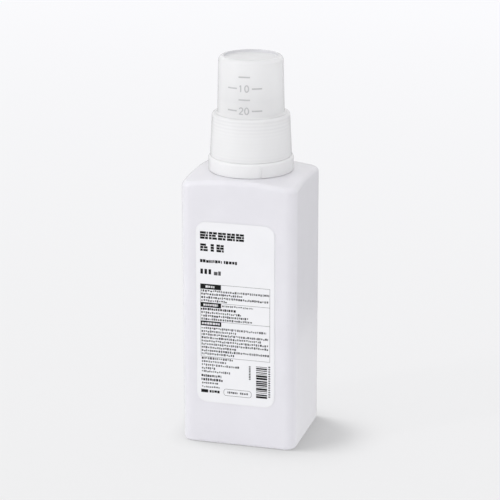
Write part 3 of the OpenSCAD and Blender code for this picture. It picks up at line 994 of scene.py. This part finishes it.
def floor_tone(mat, place):
    """The paper's colour, which turns into the backdrop's behind the bottle and far from it."""
    parts = node(mat, "ShaderNodeSeparateXYZ", {"Vector": place}).outputs
    behind = node(mat, "ShaderNodeMapRange", {"Value": parts["Y"], "From Min": -0.15,
                                              "From Max": 1.3})
    reach = node(mat, "ShaderNodeVectorMath", {0: place}, operation="LENGTH")
    around = node(mat, "ShaderNodeMapRange", {"Value": reach.outputs["Value"], "From Min": 1.5,
                                              "From Max": 6.0})
    far = node(mat, "ShaderNodeMath", {0: behind.outputs["Result"], 1: around.outputs["Result"]},
               operation="MAXIMUM")
    tone = node(mat, "ShaderNodeValToRGB", {"Fac": far.outputs["Value"]})
    tone.color_ramp.elements[0].color = (0.85, 0.85, 0.855, 1)
    tone.color_ramp.elements[1].color = (*BACKDROP, 1)
    return tone.outputs["Color"]


def floor_shade(mat):
    """How bright the floor stays: less in a shadow that tapers off to the right and at the foot."""
    leaning = node(mat, "ShaderNodeCombineXYZ", dict(enumerate(LEANING_LEFT)))
    beside = node(mat, "ShaderNodeAmbientOcclusion",
                  {"Distance": 0.052, "Normal": leaning.outputs["Vector"]}, samples=24)
    hidden = node(mat, "ShaderNodeMapRange", {"Value": beside.outputs["AO"], "From Min": 1.0,
                                              "From Max": 0.606})
    core = node(mat, "ShaderNodeMath", {0: hidden.outputs["Result"], 1: 4.0}, operation="POWER")
    wide = node(mat, "ShaderNodeMapRange", {"Value": core.outputs["Value"], "To Min": 1.0,
                                            "To Max": 0.59})
    under = node(mat, "ShaderNodeAmbientOcclusion", {"Distance": 0.012}, samples=16)
    tight = node(mat, "ShaderNodeMapRange", {"Value": under.outputs["AO"], "From Min": 0.5,
                                             "To Min": 0.86})
    shade = node(mat, "ShaderNodeMath", {0: wide.outputs["Result"], 1: tight.outputs["Result"]},
                 operation="MULTIPLY")
    return shade.outputs["Value"]


def make_floor():
    """The paper that the bottle stands on. The camera sees its plain tone, lighter with distance,
    with a painted shadow beside the base, worked out from how much of a sky leaning to the left the
    bottle hides, over a share of paper lit by the lamps."""
    mesh = bpy.data.meshes.new("floor")
    mesh.from_pydata([(x * FLOOR_HALF, y * FLOOR_HALF, 0)
                      for x, y in ((-1, -1), (1, -1), (1, 1), (-1, 1))], [], [(0, 1, 2, 3)])
    floor = bpy.data.objects.new("floor", mesh)
    bpy.context.scene.collection.objects.link(floor)
    mat, shader = material("floor_paper", (0.9, 0.9, 0.905), 0.9, Specular_IOR_Level=0.1)
    place = node(mat, "ShaderNodeTexCoord").outputs["Object"]
    mirrored, tone, shade = floor_mirrored(mat, place), floor_tone(mat, place), floor_shade(mat)
    # Painted shadow: the glow that the camera sees is dimmed by the shade worked out above
    seen = node(mat, "ShaderNodeEmission", {"Color": tone, "Strength": shade})
    paper = node(mat, "ShaderNodeBsdfDiffuse", {"Color": tone})
    lit = node(mat, "ShaderNodeMixShader", {"Fac": 0.75, 1: paper.outputs["BSDF"],
                                            2: seen.outputs["Emission"]})
    path = node(mat, "ShaderNodeLightPath").outputs
    glossy = node(mat, "ShaderNodeMixShader", {"Fac": path["Is Glossy Ray"],
                                               1: shader.outputs["BSDF"],
                                               2: mirrored.outputs["Emission"]})
    both = node(mat, "ShaderNodeMixShader", {"Fac": path["Is Camera Ray"],
                                             1: glossy.outputs["Shader"],
                                             2: lit.outputs["Shader"]})
    connect(mat, both.outputs["Shader"], mat.node_tree.nodes["Material Output"].inputs["Surface"])
    floor.data.materials.append(mat)


def strip_light(name, place, target, width, height, power):
    """A soft upright lamp."""
    data = bpy.data.lights.new(name, "AREA")
    data.shape = "RECTANGLE"
    data.size, data.size_y = width, height
    data.energy = power
    lamp = bpy.data.objects.new(name, data)
    lamp.location = place
    lamp.rotation_euler = (Vector(target) - Vector(place)).to_track_quat("-Z", "Y").to_euler()
    bpy.context.scene.collection.objects.link(lamp)


def make_world():
    """Soft light from all sides, strongest from above and the left, before a plain backdrop."""
    world = bpy.data.worlds.new("studio")
    world.use_nodes = True
    place = node(world, "ShaderNodeTexCoord").outputs["Generated"]
    facing = node(world, "ShaderNodeVectorMath", {0: place, 1: BRIGHTEST},
                  operation="DOT_PRODUCT")
    share = node(world, "ShaderNodeMapRange", {"Value": facing.outputs["Value"],
                                               "From Min": -1.0})
    ramp = node(world, "ShaderNodeValToRGB", {"Fac": share.outputs["Result"]})
    ramp.color_ramp.elements[0].color = SKY_DIM
    ramp.color_ramp.elements[1].color = SKY_BRIGHT
    lit = node(world, "ShaderNodeBackground", {"Color": ramp.outputs["Color"]})
    seen = node(world, "ShaderNodeBackground", {"Color": (*BACKDROP, 1)})
    path = node(world, "ShaderNodeLightPath").outputs
    both = node(world, "ShaderNodeMixShader", {"Fac": path["Is Camera Ray"],
                                               1: lit.outputs["Background"],
                                               2: seen.outputs["Background"]})
    connect(world, both.outputs["Shader"],
            world.node_tree.nodes["World Output"].inputs["Surface"])
    bpy.context.scene.world = world


def make_camera():
    """The photograph's camera: its turn, distance, height, tilt and focal length."""
    turn, distance, height = math.radians(15.854), 1.0433, 0.4232
    yaw, tilt, roll = turn + math.radians(0.036), math.radians(17.081), math.radians(-0.1)
    focal_px, frame_px = 2025.98, 500
    data = bpy.data.cameras.new("camera")
    data.sensor_width = 36.0
    data.lens = focal_px / frame_px * data.sensor_width
    data.clip_end = 50.0
    ahead = Vector((-math.sin(yaw) * math.cos(tilt), math.cos(yaw) * math.cos(tilt),
                    -math.sin(tilt)))
    right = Vector((math.cos(yaw), math.sin(yaw), 0))
    up = right.cross(ahead)
    right, up = (right * math.cos(roll) + up * math.sin(roll),
                 up * math.cos(roll) - right * math.sin(roll))
    camera = bpy.data.objects.new("camera", data)
    turned_to = Matrix((right, up, -ahead)).transposed().to_4x4()
    place = (distance * math.sin(turn), -distance * math.cos(turn), height)
    camera.matrix_world = Matrix.Translation(place) @ turned_to
    bpy.context.scene.collection.objects.link(camera)
    bpy.context.scene.camera = camera


make_floor()
make_world()
strip_light("key", (-1.1, -0.93, 0.75), (0, 0, 0.15), width=0.1, height=1.6, power=3.9)
make_camera()
bpy.context.scene.view_settings.view_transform = "Standard"
